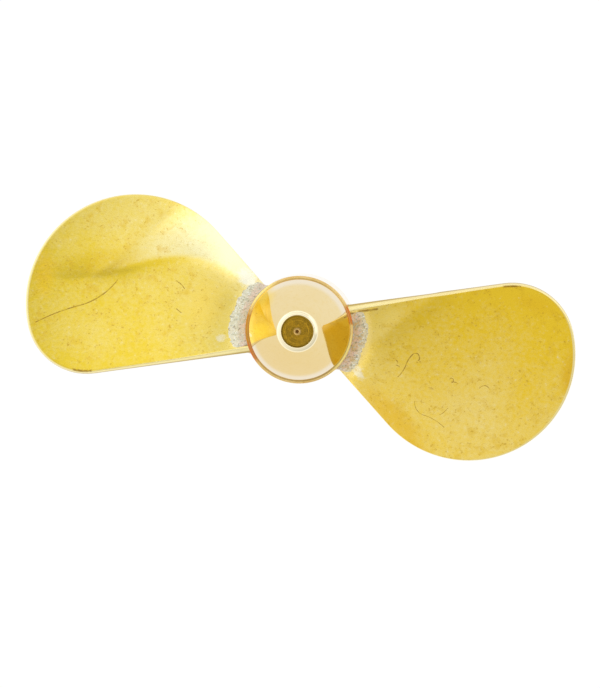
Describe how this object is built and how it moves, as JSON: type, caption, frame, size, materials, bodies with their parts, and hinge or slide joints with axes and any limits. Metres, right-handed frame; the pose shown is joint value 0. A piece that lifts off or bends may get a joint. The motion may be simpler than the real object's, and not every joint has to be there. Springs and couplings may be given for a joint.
{
  "type": "model boat propeller",
  "caption": "Small right-handed boat propeller in brass: turned hub with a conical nose and twisted sheet blades soldered at the root.",
  "frame": {"origin": "centre of the hub's flat forward face, on the shaft axis, which is also the lowest plane of the part", "axes": "+Z along the shaft axis from the forward face to the nose (aft); the blades' own axes lie along +X and -X"},
  "size_m": [0.065, 0.0254, 0.0189],
  "materials": {
    "hub_brass": "turned and polished",
    "blade_brass": "hand polished sheet with fine scratches",
    "silver_solder": "pale, dull, pitted solder with flux stains"
  },
  "bodies": {
    "root": {"hub": "hub_brass", "blade_1": "blade_brass", "blade_2": "blade_brass", "solder_1_aft": "silver_solder", "solder_1_forward": "silver_solder", "solder_2_aft": "silver_solder", "solder_2_forward": "silver_solder"}
  },
  "joints": []
}
